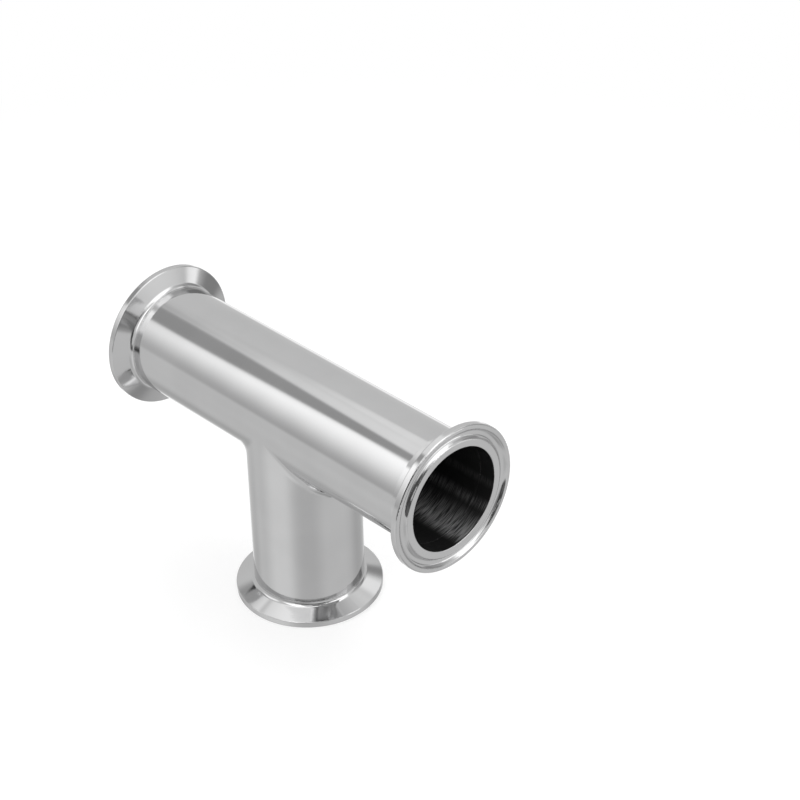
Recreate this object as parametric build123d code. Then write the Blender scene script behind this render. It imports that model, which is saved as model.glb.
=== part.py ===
"""Sanitary clamp tee in stainless tube: a pulled tee body with three short clamp ferrules welded on.

The run lies along X, the branch points down, and the origin is the centre of the branch's sealing face,
which the tee stands on. Lengths are in millimetres.
"""
import os
from math import radians, tan

from build123d import *

# Tube of the 38 mm sanitary size
TUBE_OD = 38.0
TUBE_WALL = 1.2

# Reach of the tee, from the crossing of its two centre lines to a sealing face
RUN_REACH = 70.0
BRANCH_REACH = 71.0

# Clamp ferrule: rim, back cone and the short neck that is welded to the tube
RIM_OD = 50.5
RIM_THICKNESS = 2.3
CONE_ANGLE = 20.0
FERRULE_LENGTH = 6.1
NECK_DROP = 0.2
ROOT_FILLET = 1.6
RIM_FRONT_FILLET = 0.5
RIM_BACK_FILLET = 0.2
BORE_LIP_FILLET = 0.25

# Round-bottomed groove in the sealing face, for the bead of the gasket
GROOVE_CENTRE_DIA = 44.0
GROOVE_WIDTH = 3.4
GROOVE_DEPTH = 1.2
GROOVE_EDGE_FILLET = 0.2

# Ends of the tube, ground down to the neck in a slight taper
RUN_TAPER = 2.4
BRANCH_TAPER = 0.4

# Pulled branch: bend of the wall where it leaves the run, and the collar's slight draft
CROTCH_RADIUS = 6.0
COLLAR_DRAFT = 0.1

# Reach of the box that finds the crotch edges, as a share of the tube's radius
CROTCH_SEARCH = 1.1

tube_r = TUBE_OD / 2
bore_r = tube_r - TUBE_WALL
neck_r = tube_r - NECK_DROP
rim_r = RIM_OD / 2
run_z = BRANCH_REACH


def corner(face, radius, height):
    """The vertex of a profile that is nearest to a radius and a height."""
    target = Vector(radius, 0, height)
    return min(face.vertices(), key=lambda v: (Vector(*v) - target).length)


def ferrule():
    """A turned ferrule that stands on its sealing face at Z = 0, its neck pointing up."""
    groove_in = (GROOVE_CENTRE_DIA - GROOVE_WIDTH) / 2
    groove_out = (GROOVE_CENTRE_DIA + GROOVE_WIDTH) / 2
    cone_top = RIM_THICKNESS + (rim_r - neck_r) * tan(radians(CONE_ANGLE))
    section = Plane.XZ * make_face(
        [
            Line((bore_r, FERRULE_LENGTH), (bore_r, 0)),
            Line((bore_r, 0), (groove_in, 0)),
            ThreePointArc((groove_in, 0), (GROOVE_CENTRE_DIA / 2, GROOVE_DEPTH), (groove_out, 0)),
            Line((groove_out, 0), (rim_r, 0)),
            Line((rim_r, 0), (rim_r, RIM_THICKNESS)),
            Line((rim_r, RIM_THICKNESS), (neck_r, cone_top)),
            Line((neck_r, cone_top), (neck_r, FERRULE_LENGTH)),
            Line((neck_r, FERRULE_LENGTH), (bore_r, FERRULE_LENGTH)),
        ]
    )
    for radius, height, size in (
        (bore_r, 0, BORE_LIP_FILLET),
        (groove_in, 0, GROOVE_EDGE_FILLET),
        (groove_out, 0, GROOVE_EDGE_FILLET),
        (rim_r, 0, RIM_FRONT_FILLET),
        (rim_r, RIM_THICKNESS, RIM_BACK_FILLET),
        (neck_r, cone_top, ROOT_FILLET),
    ):
        section = fillet(corner(section, radius, height), size)
    return revolve(section, Axis.Z)


def arm(reach, taper, end_r, top_r, root_r):
    """A solid arm from the weld seam up to the centre line, with a tapered end if end_r is less than top_r."""
    section = Plane.XZ * make_face(
        Polyline(
            (0, FERRULE_LENGTH),
            (end_r, FERRULE_LENGTH),
            (top_r, FERRULE_LENGTH + taper),
            (root_r, reach),
            (0, reach),
            close=True,
        )
    )
    return revolve(section, Axis.Z)


def tee(end_r, top_r, bend_r):
    """Three arms that meet on the centre lines, with the bend of the wall round the foot of the branch."""
    run_arm = arm(RUN_REACH, RUN_TAPER, end_r, top_r, top_r)
    run = front * run_arm + rear * run_arm
    whole = run + arm(BRANCH_REACH, BRANCH_TAPER, end_r, top_r, top_r - COLLAR_DRAFT)
    reach = CROTCH_SEARCH * top_r
    window = Pos(0, 0, run_z) * Box(2 * reach, 2 * reach, 2 * reach)
    lowest, highest = window.bounding_box().min, window.bounding_box().max
    bend = [
        e
        for e in whole.edges()
        if e.geom_type != GeomType.LINE
        and e.bounding_box().min.X > lowest.X
        and e.bounding_box().max.X < highest.X
        and e.bounding_box().min.Z > lowest.Z
    ]
    return fillet(bend, bend_r)


# Places of the three sealing faces
front = Pos(RUN_REACH, 0, run_z) * Rot(0, -90, 0)
rear = Pos(-RUN_REACH, 0, run_z) * Rot(0, 90, 0)

tee_body = tee(neck_r, tube_r, CROTCH_RADIUS) - tee(bore_r, bore_r, CROTCH_RADIUS + TUBE_WALL)
turned = ferrule()

nodes = {
    "tee_body": tee_body,
    "run_ferrule_front": front * turned,
    "run_ferrule_rear": rear * turned,
    "branch_ferrule": turned,
}

os.makedirs("parts", exist_ok=True)
for name, shape in nodes.items():
    export_step(shape, f"parts/{name}.step")
    box = shape.bounding_box()
    print(name, "volume", round(shape.volume, 1), "solids", len(shape.solids()), "valid", shape.is_valid)
    print("   from", [round(v, 3) for v in box.min], "to", [round(v, 3) for v in box.max])
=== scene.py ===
"""Dresses the sanitary clamp tee: polished stainless tube and turned ferrules in a pale studio.

The run lies along X, the branch stands on the floor at the origin, and lengths are in metres.
"""

import logging
import math
from collections.abc import Mapping, Sequence
from dataclasses import dataclass, field
from enum import Enum
from typing import Any, Union

import bmesh
import bpy
from mathutils import Matrix, Vector

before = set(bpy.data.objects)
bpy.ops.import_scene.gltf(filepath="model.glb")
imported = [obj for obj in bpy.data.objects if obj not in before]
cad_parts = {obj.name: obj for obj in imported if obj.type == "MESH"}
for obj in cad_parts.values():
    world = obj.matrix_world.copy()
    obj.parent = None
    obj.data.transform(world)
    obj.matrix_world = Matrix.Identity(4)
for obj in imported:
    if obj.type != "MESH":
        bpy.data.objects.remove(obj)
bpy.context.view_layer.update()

log = logging.getLogger("clamp_tee")

MM = 0.001
PER_MM = 1000.0
HALF_TURN = 180.0
QUARTER_TURN = 90.0
WHITE = (1.0, 1.0, 1.0, 1.0)
Colour = tuple[float, float, float]
Number = Union[float, "Wire"]


class Axis(Enum):
    """Which centre line a turned piece is turned about."""

    RUN = "run"
    BRANCH = "branch"


class Wire:
    """A shader output that plain arithmetic works on. Each expression adds its Math nodes."""

    def __init__(self, graph: "Graph", socket: bpy.types.NodeSocket) -> None:
        """Holds an output socket.

        Args:
            graph: The graph that the socket belongs to.
            socket: The output socket.
        """
        self.graph = graph
        self.socket = socket

    def __add__(self, other: Number) -> "Wire":
        """This value plus another."""
        return self.graph.maths("ADD", self, other)

    __radd__ = __add__

    def __mul__(self, other: Number) -> "Wire":
        """This value times another."""
        return self.graph.maths("MULTIPLY", self, other)

    __rmul__ = __mul__

    def __sub__(self, other: Number) -> "Wire":
        """This value less another."""
        return self.graph.maths("SUBTRACT", self, other)

    def __rsub__(self, other: Number) -> "Wire":
        """A number less this value."""
        return self.graph.maths("SUBTRACT", other, self)

    def __neg__(self) -> "Wire":
        """This value with its sign turned."""
        return 0.0 - self

    def __lt__(self, other: Number) -> "Wire":
        """1 where this value is below another, else 0."""
        return self.graph.maths("LESS_THAN", self, other)


class Graph:
    """A node tree that is written as Python expressions."""

    def __init__(self, tree: bpy.types.NodeTree) -> None:
        """Starts from an empty tree.

        Args:
            tree: The node tree of a material or the world.
        """
        self.tree = tree
        tree.nodes.clear()

    def node(
        self,
        kind: str,
        settings: Mapping[str, Any] | None = None,
        inputs: Mapping[Any, Any] | None = None,
    ) -> bpy.types.Node:
        """Adds a node.

        Args:
            kind: The node's type name.
            settings: Its properties, which are set first.
            inputs: Values or wires for its sockets, by name or index.

        Returns:
            The new node.
        """
        made = self.tree.nodes.new(kind)
        for name, value in (settings or {}).items():
            setattr(made, name, value)
        for name, value in (inputs or {}).items():
            if isinstance(value, Wire):
                self.tree.links.new(value.socket, made.inputs[name])
            elif isinstance(value, bpy.types.NodeSocket):
                self.tree.links.new(value, made.inputs[name])
            else:
                made.inputs[name].default_value = value
        return made

    def out(self, node: bpy.types.Node, name: str | int = 0) -> Wire:
        """One output of a node, as a wire."""
        return Wire(self, node.outputs[name])

    def maths(self, operation: str, *values: Number) -> Wire:
        """A Math node on up to three values."""
        settings = {"operation": operation}
        return self.out(self.node("ShaderNodeMath", settings, dict(enumerate(values))))

    def ramp(
        self, value: Number, low: float, high: float, bottom: Number = 0.0, top: Number = 1.0
    ) -> Wire:
        """Goes smoothly from bottom to top while a value goes from low to high.

        Args:
            value: The value that drives it.
            low: Where it starts.
            high: Where it ends.
            bottom: The result at low and below.
            top: The result at high and above.

        Returns:
            The smooth ramp.
        """
        settings = {"interpolation_type": "SMOOTHSTEP", "clamp": True}
        inputs = {0: value, 1: low, 2: high, 3: bottom, 4: top}
        return self.out(self.node("ShaderNodeMapRange", settings, inputs))

    def blend(self, amount: Number, first: Number, second: Number) -> Wire:
        """Goes from a first value to a second as amount goes from 0 to 1."""
        settings = {"data_type": "FLOAT", "clamp_factor": True}
        return self.out(self.node("ShaderNodeMix", settings, {0: amount, 2: first, 3: second}))

    def split(self, vector: bpy.types.NodeSocket) -> tuple[Wire, Wire, Wire]:
        """The three parts of a vector."""
        parts = self.node("ShaderNodeSeparateXYZ", {}, {0: vector})
        return self.out(parts, 0), self.out(parts, 1), self.out(parts, 2)

    def join(self, x: Number, y: Number, z: Number) -> Wire:
        """A vector from three values."""
        return self.out(self.node("ShaderNodeCombineXYZ", {}, {0: x, 1: y, 2: z}))

    def noise(self, vector: Wire, scale: float, detail: float = 2.0) -> Wire:
        """Noise from 0 to 1 over a vector."""
        inputs = {"Vector": vector, "Scale": scale, "Detail": detail}
        return self.out(self.node("ShaderNodeTexNoise", {"noise_dimensions": "3D"}, inputs))


@dataclass(frozen=True)
class Fade:
    """A smooth change between two places, and what it gives before the first and after the second."""

    start: float
    end: float
    before: float = 0.0
    after: float = 1.0

    def over(self, graph: Graph, value: Wire) -> Wire:
        """The fade's result along a value."""
        return graph.ramp(value, self.start, self.end, self.before, self.after)


@dataclass(frozen=True)
class ToolMarks:
    """Marks that a tool or a polishing belt leaves, all running the same way."""

    depth_mm: float
    per_mm: float
    length_mm: float
    detail: float = 2.0

    def height(self, graph: Graph, across: Wire, around: tuple[Wire, Wire]) -> Wire:
        """Their height from 0 to 1.

        Args:
            graph: The material's graph.
            across: The place across the marks, in mm.
            around: Two lengths in mm that follow the marks round the piece.

        Returns:
            The height.
        """
        share = 1.0 / self.length_mm
        place = graph.join(across * self.per_mm, around[0] * share, around[1] * share)
        return graph.noise(place, 1.0, self.detail)


@dataclass(frozen=True)
class Lay:
    """The way that tool marks run, and another way that may take over from it by a share."""

    across: Wire
    around: tuple[Wire, Wire]
    other: "Lay | None" = None
    share: Number = 0.0

    def relief(self, graph: Graph, marks: ToolMarks) -> Wire:
        """The height of some marks that run this way.

        Args:
            graph: The material's graph.
            marks: The marks.

        Returns:
            Their height from 0 to 1.
        """
        own = marks.height(graph, self.across, self.around)
        if self.other is None:
            return own
        return graph.blend(self.share, own, self.other.relief(graph, marks))


@dataclass(frozen=True)
class PaintedBoreHighlight:
    """A painted highlight: a lighter strip painted along the bore where a lamp's reflection falls.
    Its place is an angle round the bore, in degrees.
    """

    turn: float
    before: float
    after: float
    gain: float

    def share(self, graph: Graph, turn: Wire) -> Wire:
        """How much the painted highlight lightens the bore there.

        Args:
            graph: The material's graph.
            turn: The angle round the bore in degrees.

        Returns:
            The strip's gain at its middle, down to 0 beside it.
        """
        rise = graph.ramp(turn, self.turn - self.before, self.turn)
        fall = graph.ramp(turn, self.turn, self.turn + self.after, 1.0, 0.0)
        return rise * fall * self.gain


@dataclass(frozen=True)
class SteelFinish:
    """How a piece of stainless steel is worked outside and in its bore, with painted shade and
    painted highlight in the bore.
    """

    name: str
    fine: ToolMarks
    coarse: ToolMarks
    tint: Colour = (0.60, 0.60, 0.602)
    roughness: float = 0.08
    edge_mm: float = 0.4
    edge_samples: int = 6
    patches_per_mm: float = 0.06
    patch_shade: Fade = Fade(0.3, 0.7, 0.98, 1.02)
    patch_middle: float = 0.5
    patch_polish: float = 0.02
    bore_marks: ToolMarks = ToolMarks(depth_mm=0.05, per_mm=5.0, length_mm=4.5, detail=0.0)
    bore_streaks: Fade = Fade(0.34, 0.66, 0.2, 2.2)
    # Near-black bore colour: painted shade inside the tube
    painted_shade_bore_tint: Colour = (0.018, 0.018, 0.0181)
    bore_roughness: float = 0.35
    bore_metal: float = 0.3
    matt_shine: float = 0.1
    # Painted highlight: strips painted along the bore where lamps would be mirrored, by turn, widths
    # before and after, and gain
    painted_bore_highlights: Sequence[PaintedBoreHighlight] = (
        PaintedBoreHighlight(17.0, 17.0, 27.0, 10.5),
        PaintedBoreHighlight(38.0, 10.0, 12.0, 1.4),
        PaintedBoreHighlight(53.0, 8.0, 9.0, 3.0),
        PaintedBoreHighlight(78.0, 7.0, 7.0, 1.0),
    )

    def dress(self, graph: Graph, bore: Wire, lay: Lay, turn: Wire) -> None:
        """Builds the shader: polished outside, and in the bore a matt ground finish whose near-black
        colour is painted shade, with painted highlight strips on it.

        Args:
            graph: The material's graph.
            bore: 1 in the bore and 0 outside it.
            lay: The way that the tool marks run.
            turn: The angle round the bore in degrees.
        """
        fine = lay.relief(graph, self.fine)
        coarse = lay.relief(graph, self.coarse)
        ground = lay.relief(graph, self.bore_marks)
        patches = graph.noise(graph.join(*object_place(graph)), self.patches_per_mm)
        # Painted highlight: the strips lighten the bore's colour, broken up by the tool-mark streaks
        light = sum((strip.share(graph, turn) for strip in self.painted_bore_highlights), start=0.0)
        streaks = self.bore_streaks.over(graph, ground)
        outer = self.tinted(graph, self.tint, self.patch_shade.over(graph, patches))
        # The bore's near-black colour is painted shade
        inner = self.tinted(graph, self.painted_shade_bore_tint, light * streaks + 1.0)
        colour = graph.node("ShaderNodeMix", {"data_type": "RGBA"}, {0: bore, "A": outer, "B": inner})
        polish = self.roughness + self.patch_polish * (patches - self.patch_middle)
        roughness = graph.blend(bore, polish, self.bore_roughness)
        outside = fine * self.fine.depth_mm + coarse * self.coarse.depth_mm
        height = graph.blend(bore, outside, ground * self.bore_marks.depth_mm)
        samples = {"samples": self.edge_samples}
        eased = graph.node("ShaderNodeBevel", samples, {"Radius": self.edge_mm * MM})
        bump = graph.node(
            "ShaderNodeBump",
            {},
            {"Strength": 1.0, "Distance": MM, "Height": height, "Normal": eased.outputs["Normal"]},
        )
        shader = graph.node(
            "ShaderNodeBsdfPrincipled",
            {},
            {
                "Base Color": colour.outputs["Result"],
                "Roughness": roughness,
                "Metallic": graph.blend(bore, 1.0, self.bore_metal),
                "Specular IOR Level": self.matt_shine,
                "Normal": bump.outputs["Normal"],
            },
        )
        graph.node("ShaderNodeOutputMaterial", {}, {"Surface": shader.outputs["BSDF"]})

    def tinted(self, graph: Graph, tint: Colour, strength: Wire) -> bpy.types.NodeSocket:
        """A tint times a strength.

        Args:
            graph: The material's graph.
            tint: The tint.
            strength: What it is multiplied by.

        Returns:
            The colour's output socket.
        """
        settings = {"data_type": "RGBA", "blend_type": "MULTIPLY"}
        inputs = {0: 1.0, "A": (*tint, 1.0), "B": graph.join(strength, strength, strength)}
        return graph.node("ShaderNodeMix", settings, inputs).outputs["Result"]


def object_place(graph: Graph) -> tuple[Wire, Wire, Wire]:
    """The place on a piece in mm, from its Object coordinates.

    Args:
        graph: The material's graph.

    Returns:
        The place along X, Y and Z.
    """
    place = graph.node("ShaderNodeTexCoord").outputs["Object"]
    scaled = graph.node("ShaderNodeVectorMath", {"operation": "SCALE"}, {0: place, "Scale": PER_MM})
    return graph.split(scaled.outputs[0])


def angle_round(graph: Graph, side: Wire, up: Wire) -> Wire:
    """The angle round an axis in degrees, 0 where up is negative and 90 where side is positive."""
    return graph.maths("ARCTAN2", side, -up) * math.degrees(1.0)


def direction(azimuth: float, elevation: float = 0.0) -> Vector:
    """The unit vector of a direction in degrees.

    Args:
        azimuth: 0 towards -Y and 90 towards +X.
        elevation: 0 level and 90 up.

    Returns:
        The vector.
    """
    turn, rise = math.radians(azimuth), math.radians(elevation)
    level = math.cos(rise)
    return Vector((math.sin(turn) * level, -math.cos(turn) * level, math.sin(rise)))


def new_material(name: str) -> tuple[bpy.types.Material, Graph]:
    """Makes an empty node material.

    Args:
        name: Its name.

    Returns:
        The material and its graph.
    """
    material = bpy.data.materials.new(name)
    material.use_nodes = True
    return material, Graph(material.node_tree)


def paint(node: str, material: bpy.types.Material) -> None:
    """Puts a material on every slot of a CAD node."""
    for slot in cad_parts[node].material_slots:
        slot.material = material


@dataclass
class TeeBody:
    """The tube tee with its pulled branch."""

    node: str = "tee_body"
    run_height_mm: float = 71.0
    branch_from_mm: float = 17.0
    branch_to_mm: float = 26.0
    finish: SteelFinish = field(
        default_factory=lambda: SteelFinish(
            "polished tube",
            fine=ToolMarks(depth_mm=0.0006, per_mm=5.0, length_mm=20.0),
            coarse=ToolMarks(depth_mm=0.0008, per_mm=0.35, length_mm=60.0),
        )
    )

    def dress(self) -> None:
        """Gives the tube its polished outside and its ground bore, whose colour is painted shade and
        painted highlight.
        """
        material, graph = new_material(self.finish.name)
        x, y, z = object_place(graph)
        up = z - self.run_height_mm
        nx, ny, nz = graph.split(graph.node("ShaderNodeNewGeometry").outputs["Normal"])
        # A wall whose normal points back at the centre lines is in the bore
        from_run = ny * y + nz * up
        from_branch = nx * x + ny * y
        bore = from_run + from_branch < 0.0
        branch = graph.ramp(-up, self.branch_from_mm, self.branch_to_mm)
        lay = Lay(x, (y, up), Lay(z, (x, y)), branch)
        self.finish.dress(graph, bore, lay, angle_round(graph, y, up))
        paint(self.node, material)
        log.info("%s dressed", self.node)


@dataclass
class ClampFerrule:
    """A turned ferrule with its grooved sealing face, back cone and neck."""

    node: str
    axis: Axis
    run_height_mm: float = 71.0
    bore_radius_mm: float = 17.88
    finish: SteelFinish = field(
        default_factory=lambda: SteelFinish(
            "turned ferrule",
            fine=ToolMarks(depth_mm=0.0018, per_mm=5.0, length_mm=25.0),
            coarse=ToolMarks(depth_mm=0.0035, per_mm=1.3, length_mm=14.0),
        )
    )

    def dress(self) -> None:
        """Gives the ferrule its turning marks and its ground bore, whose colour is painted shade and
        painted highlight.
        """
        material, graph = new_material(f"{self.finish.name} {self.axis.value}")
        x, y, z = object_place(graph)
        if self.axis is Axis.RUN:
            along, side, up = x, y, z - self.run_height_mm
        else:
            along, side, up = z, x, y
        radius = graph.maths("SQRT", side * side + up * up)
        # Rings run round the sealing face and round the cone and the neck alike
        lay = Lay(radius + along, (side, up))
        self.finish.dress(graph, radius < self.bore_radius_mm, lay, angle_round(graph, side, up))
        paint(self.node, material)
        log.info("%s dressed", self.node)


@dataclass(frozen=True)
class SkyCard:
    """A soft-edged card of light or dark in the studio's sky, placed by direction in degrees.

    Azimuth 0 is towards -Y and 90 towards +X. Lean is how far its middle line moves in azimuth for
    each degree up, and its level goes from bottom to top.
    """

    name: str
    azimuth: float
    elevation: float
    half_width: float
    half_height: float
    lean: float
    bottom: float
    top: float
    soft_side: float
    soft_end: float

    def cover(self, graph: Graph, level: Number, azimuth: Wire, elevation: Wire) -> Wire:
        """Lays the card over the sky.

        Args:
            graph: The world's graph.
            level: The sky's brightness so far.
            azimuth: The ray's azimuth in degrees.
            elevation: The ray's elevation in degrees.

        Returns:
            The brightness with the card on it.
        """
        middle = (elevation - self.elevation) * self.lean + self.azimuth
        turned = graph.maths("WRAP", azimuth - middle, HALF_TURN, -HALF_TURN)
        turn = graph.maths("ABSOLUTE", turned)
        rise = graph.maths("ABSOLUTE", elevation - self.elevation)
        inside = graph.ramp(turn, self.half_width + self.soft_side, self.half_width - self.soft_side)
        within = graph.ramp(rise, self.half_height + self.soft_end, self.half_height - self.soft_end)
        low, high = self.elevation - self.half_height, self.elevation + self.half_height
        own = graph.ramp(elevation, low, high, self.bottom, self.top)
        return graph.blend(inside * within, level, own)


@dataclass(frozen=True)
class EdgeBoard:
    """An upright board round the table's edge, bent round the origin. Only the steel mirrors it.

    Azimuths are in degrees, 0 towards -Y and 90 towards +X. Its level goes from the foot level at
    the floor to its own over the fade's height.
    """

    name: str
    azimuth_from: float
    azimuth_to: float
    distance: float
    bottom: float
    top: float
    foot_level: float
    level: float
    fade_mm: float = 34.0
    thickness: float = 0.004
    steps: int = 24

    def bend(self) -> bpy.types.Mesh:
        """Spins the board's cross section about the origin.

        Returns:
            The board's closed shell.
        """
        side = direction(self.azimuth_from)
        near, far = side * self.distance, side * (self.distance + self.thickness)
        low, high = Vector((0.0, 0.0, self.bottom)), Vector((0.0, 0.0, self.top))
        shape = bmesh.new()
        corners = (near + low, far + low, far + high, near + high)
        section = shape.faces.new([shape.verts.new(corner) for corner in corners])
        bmesh.ops.spin(
            shape,
            geom=[*section.verts, *section.edges, section],
            cent=(0.0, 0.0, 0.0),
            axis=(0.0, 0.0, 1.0),
            angle=math.radians(self.azimuth_to - self.azimuth_from),
            steps=self.steps,
        )
        bmesh.ops.recalc_face_normals(shape, faces=shape.faces)
        mesh = bpy.data.meshes.new(self.name)
        shape.to_mesh(mesh)
        shape.free()
        return mesh

    def build(self) -> None:
        """Makes the board and gives it its level, which only mirrors see."""
        material, graph = new_material(self.name)
        height = object_place(graph)[2]
        level = graph.ramp(height, 0.0, self.fade_mm, self.foot_level, self.level)
        glow = graph.node("ShaderNodeEmission", {}, {"Color": graph.join(level, level, level)})
        graph.node("ShaderNodeOutputMaterial", {}, {"Surface": glow.outputs[0]})
        mesh = self.bend()
        mesh.materials.append(material)
        board = bpy.data.objects.new(self.name, mesh)
        board.visible_camera = False
        board.visible_diffuse = False
        board.visible_shadow = False
        bpy.context.scene.collection.objects.link(board)


@dataclass
class Studio:
    """The pale floor, the soft lamps, the boards round the table and the studio's sky."""

    floor_radius: float = 1.0
    floor_sides: int = 128
    floor_drop: float = 0.02 * MM
    floor_colour: Colour = (0.85, 0.85, 0.85)
    shaded_colour: Colour = (0.4, 0.4, 0.4)
    shaded_glow: float = 0.64
    white_floor: Fade = Fade(180.0, 420.0)
    ambient: float = 0.62
    nadir: float = -60.0
    nadir_level: float = 0.72
    floor_level: float = 0.76
    sky_level: float = 0.75
    horizon: float = 4.0
    haze: float = 8.0
    lamp_distance: float = 1.1
    lamp_size: float = 0.7
    lamp_power: float = 3.3
    lamps: Sequence[tuple[float, float]] = ((-12.0, 48.0), (108.0, 48.0), (-132.0, 52.0))
    # Name, azimuths from and to, distance, bottom, top, foot level, level and the fade between them
    boards: Sequence[EdgeBoard] = (
        EdgeBoard("dark table edge", 20.0, 62.0, 0.26, 0.0, 0.066, 0.13, 0.15),
        EdgeBoard("dark table foot", 62.0, 75.0, 0.26, 0.0, 0.066, 0.05, 0.05),
        EdgeBoard("grey table corner", 75.0, 98.0, 0.26, 0.0, 0.064, 0.50, 0.28, 24.0),
        EdgeBoard("camera stand", 31.0, 62.0, 0.258, 0.062, 0.104, 0.09, 0.09),
        EdgeBoard("dark stand", 62.0, 75.5, 0.258, 0.060, 0.108, 0.05, 0.05),
        EdgeBoard("grey stand", 75.5, 82.0, 0.258, 0.062, 0.110, 0.42, 0.42),
        EdgeBoard("near dark screen", 52.0, 76.5, 0.15, 0.088, 0.146, 0.10, 0.10),
        EdgeBoard("tall near screen", 52.0, 67.0, 0.15, 0.146, 0.210, 0.16, 0.16),
        EdgeBoard("small dark stand", 78.0, 82.3, 0.152, 0.046, 0.091, 0.05, 0.05),
        EdgeBoard("white card by the table", 107.0, 122.0, 0.26, 0.015, 0.066, 1.8, 1.8),
    )
    # Name, azimuth, elevation, half width and height, lean, bottom and top level, soft side and end
    cards: Sequence[SkyCard] = (
        SkyCard("ceiling", -45, 78, 110, 16, 0.0, 1.20, 1.35, 20, 6),
        SkyCard("left wall", -140, 20, 90, 28, 0.0, 0.72, 0.80, 8, 5),
        SkyCard("ceiling over the left wall", -135, 62, 70, 14, 0.0, 0.95, 1.30, 20, 4),
        SkyCard("front softbox", -34, 20, 18, 26, -0.3, 0.55, 1.60, 6, 3),
        SkyCard("front lamp", 14, 44, 16, 24, 0.2, 1.70, 2.50, 4, 6),
        SkyCard("right lamp", 112, 58, 30, 30, 0.5, 1.70, 2.40, 10, 6),
        SkyCard("lamp hood", 105, 74, 48, 8, 0.0, 1.90, 2.20, 10, 3),
        SkyCard("low right lamp", 107, 22, 17, 14, 0.0, 1.75, 1.75, 4, 3),
        SkyCard("left strip light", -112, 52, 24, 4, 0.9, 0.95, 1.15, 5, 3),
        SkyCard("end of the strip light", -118, 50.5, 11, 5, 0.0, 1.10, 1.12, 3, 1.5),
        SkyCard("dark flag on the left", -73.6, 46, 14, 11, -0.3, 0.42, 0.45, 2, 3),
        SkyCard("light beside the flag", -94, 50, 12, 6, 2.7, 0.75, 1.15, 6, 2),
        SkyCard("soft edge of the flag", -92, 45.5, 6, 2.5, 0.0, 0.55, 0.68, 6, 2),
        SkyCard("rear strip light", -167, 40, 13, 6, 0.0, 1.20, 1.20, 5, 3),
        SkyCard("rear flag", -159, 27, 10, 4, 1.0, 0.35, 0.38, 4, 3),
        SkyCard("rear grey corner", -178, 62, 20, 10, 0.0, 0.90, 0.55, 8, 5),
        SkyCard("small grey flag", -96, 38, 5, 5, 0.0, 0.45, 0.45, 4, 4),
        SkyCard("right wall foot", 104, 4, 30, 6, 0.0, 0.85, 1.10, 10, 3),
        SkyCard("low strip light", 140, -4, 5, 3, 0.0, 1.50, 1.50, 3, 1.5),
        SkyCard("low rear flag", 153, -16, 9, 7, -0.8, 0.32, 0.32, 4, 4),
        SkyCard("rear right grey", 152, 18, 14, 20, 0.0, 0.38, 0.60, 6, 5),
        SkyCard("grey corner behind", 169, 19, 6.5, 16, 0.0, 0.30, 0.35, 3.5, 4),
        SkyCard("table edge", 20, -12, 30, 5, 0.0, 0.05, 0.25, 12, 3),
        # Below the horizon the cards paint what the steel mirrors of the floor: the grey and dark
        # ones are painted shadow of the tee and of the lamps, the bright ones painted light
        SkyCard("bright floor in front", -10, -38, 26, 14, 0.0, 0.90, 0.90, 18, 6),
        SkyCard("painted floor shadow on the right", 50, -40, 24, 10, 0.0, 0.62, 0.62, 18, 6),
        SkyCard("painted floor shadow on the left", -90, -46, 16, 10, 0.0, 0.53, 0.53, 12, 6),
        SkyCard("white sweep behind", -137, -17, 14, 5, 0.0, 1.15, 1.15, 6, 3),
        SkyCard("bright floor on the left", -120, -42, 9, 5, 0.0, 1.10, 1.10, 5, 3),
        SkyCard("painted floor shadow behind", 179, -36, 26, 10, 0.0, 0.54, 0.54, 20, 5),
        SkyCard("painted dark floor shadow behind", 108, -58, 16, 5, 0.0, 0.36, 0.36, 12, 4),
        SkyCard("shade under the tee", 95, -70, 60, 9, 0.0, 0.48, 0.48, 25, 5),
    )

    def build(self) -> None:
        """Makes the whole studio."""
        self.lay_floor()
        self.light_sky()
        for board in self.boards:
            board.build()
        for index, (azimuth, elevation) in enumerate(self.lamps):
            self.hang_lamp(index, azimuth, elevation)
        log.info("studio built with %d lamps and %d sky cards", len(self.lamps), len(self.cards))

    def lay_floor(self) -> None:
        """Lays a round pale floor just under the tee, white far from it and shaded near it."""
        shape = bmesh.new()
        bmesh.ops.create_circle(
            shape, cap_ends=True, segments=self.floor_sides, radius=self.floor_radius
        )
        mesh = bpy.data.meshes.new("floor")
        shape.to_mesh(mesh)
        shape.free()
        mesh.transform(Matrix.Translation((0.0, 0.0, -self.floor_drop)))
        floor = bpy.data.objects.new("floor", mesh)
        bpy.context.scene.collection.objects.link(floor)
        material, graph = new_material("pale floor")
        x, y, _ = object_place(graph)
        away = graph.maths("SQRT", x * x + y * y)
        lit = graph.node("ShaderNodeBsdfDiffuse", {}, {"Color": (*self.floor_colour, 1.0)})
        shaded = graph.node("ShaderNodeBsdfDiffuse", {}, {"Color": (*self.shaded_colour, 1.0)})
        glow = graph.node("ShaderNodeEmission", {}, {"Strength": self.shaded_glow})
        soft = graph.node("ShaderNodeAddShader", {}, {0: shaded.outputs[0], 1: glow.outputs[0]})
        white = graph.node("ShaderNodeEmission", {}, {"Strength": 1.0})
        far = self.white_floor.over(graph, away)
        views = {0: far, 1: soft.outputs[0], 2: white.outputs[0]}
        seen = graph.node("ShaderNodeMixShader", {}, views)
        camera = graph.node("ShaderNodeLightPath").outputs["Is Camera Ray"]
        shaders = {0: camera, 1: lit.outputs[0], 2: seen.outputs[0]}
        whole = graph.node("ShaderNodeMixShader", {}, shaders)
        graph.node("ShaderNodeOutputMaterial", {}, {"Surface": whole.outputs[0]})
        mesh.materials.append(material)
        floor.visible_glossy = False

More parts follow.
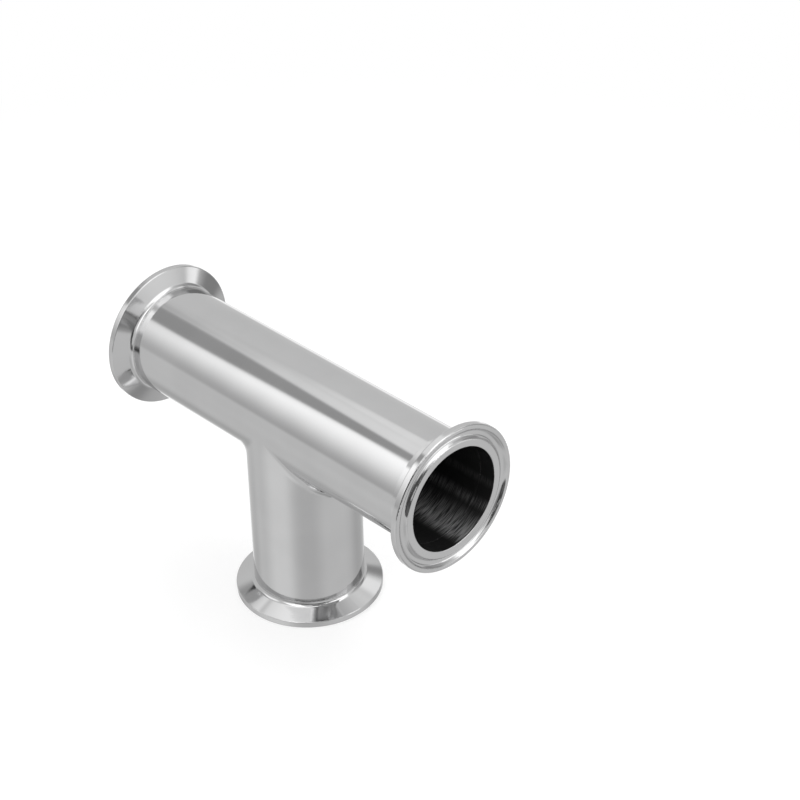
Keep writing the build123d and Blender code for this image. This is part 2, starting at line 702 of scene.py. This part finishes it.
    def light_sky(self) -> None:
        """Paints the sky: white to the camera, soft cards to the steel, an even level to the rest."""
        world = bpy.data.worlds.new("studio sky")
        world.use_nodes = True
        bpy.context.scene.world = world
        graph = Graph(world.node_tree)
        x, y, z = graph.split(graph.node("ShaderNodeTexCoord").outputs["Generated"])
        azimuth = angle_round(graph, x, y)
        elevation = graph.maths("ARCSINE", z) * math.degrees(1.0)
        low, high = self.horizon - self.haze, self.horizon + self.haze
        ground = graph.ramp(elevation, self.nadir, low, self.nadir_level, self.floor_level)
        above = graph.ramp(elevation, low, high)
        level = graph.blend(above, ground, self.sky_level)
        for card in self.cards:
            level = card.cover(graph, level, azimuth, elevation)
        path = graph.node("ShaderNodeLightPath")
        seen, through = graph.out(path, "Is Camera Ray"), graph.out(path, "Is Transmission Ray")
        level = graph.blend(graph.out(path, "Is Glossy Ray"), self.ambient, level)
        level = graph.blend(graph.maths("MAXIMUM", seen, through), level, 1.0)
        backdrop = graph.node("ShaderNodeBackground", {}, {"Color": WHITE, "Strength": level})
        graph.node("ShaderNodeOutputWorld", {}, {"Surface": backdrop.outputs[0]})

    def hang_lamp(self, index: int, azimuth: float, elevation: float) -> None:
        """Hangs one soft square lamp that faces the tee.

        Args:
            index: Its number, for its name.
            azimuth: Its azimuth in degrees.
            elevation: Its elevation in degrees.
        """
        towards = direction(azimuth, elevation)
        lamp = bpy.data.lights.new(f"soft lamp {index + 1}", "AREA")
        lamp.shape = "SQUARE"
        lamp.size = self.lamp_size
        lamp.energy = self.lamp_power
        holder = bpy.data.objects.new(lamp.name, lamp)
        holder.matrix_world = towards.to_track_quat("Z", "Y").to_matrix().to_4x4()
        holder.location = towards * self.lamp_distance
        holder.visible_glossy = False
        holder.visible_camera = False
        bpy.context.scene.collection.objects.link(holder)


@dataclass(frozen=True)
class Viewpoint:
    """The camera's place, worked out from the edges of the rims in the reference picture."""

    azimuth: float = 46.224
    elevation: float = 33.587
    roll: float = 1.057
    distance: float = 0.697255
    slide_right: float = 0.032163
    slide_up: float = 0.003527
    height: float = 71.0 * MM
    lens: float = 95.876
    sensor: float = 36.0

    def build(self) -> None:
        """Makes the scene's camera."""
        roll = math.radians(self.roll)
        back = direction(self.azimuth, self.elevation)
        level = direction(self.azimuth + QUARTER_TURN)
        upright = back.cross(level)
        right = math.cos(roll) * level - math.sin(roll) * upright
        up = math.sin(roll) * level + math.cos(roll) * upright
        turned = Matrix((right, up, back)).transposed().to_4x4()
        place = Vector((0.0, 0.0, self.height)) + self.slide_right * right + self.slide_up * up
        turned.translation = place + self.distance * back
        data = bpy.data.cameras.new("camera")
        data.sensor_width = self.sensor
        data.lens = self.lens
        camera = bpy.data.objects.new("camera", data)
        camera.matrix_world = turned
        bpy.context.scene.collection.objects.link(camera)
        bpy.context.scene.camera = camera
        log.info("camera %.3f m from the tee", self.distance)


def main() -> None:
    """Dresses the four pieces, then builds the studio and the camera."""
    TeeBody().dress()
    for node, axis in (
        ("run_ferrule_front", Axis.RUN),
        ("run_ferrule_rear", Axis.RUN),
        ("branch_ferrule", Axis.BRANCH),
    ):
        ClampFerrule(node, axis).dress()
    Studio().build()
    Viewpoint().build()
    bpy.context.scene.view_settings.view_transform = "Standard"


if __name__ == "__main__":
    logging.basicConfig(level=logging.INFO, format="%(name)s: %(message)s")
    main()
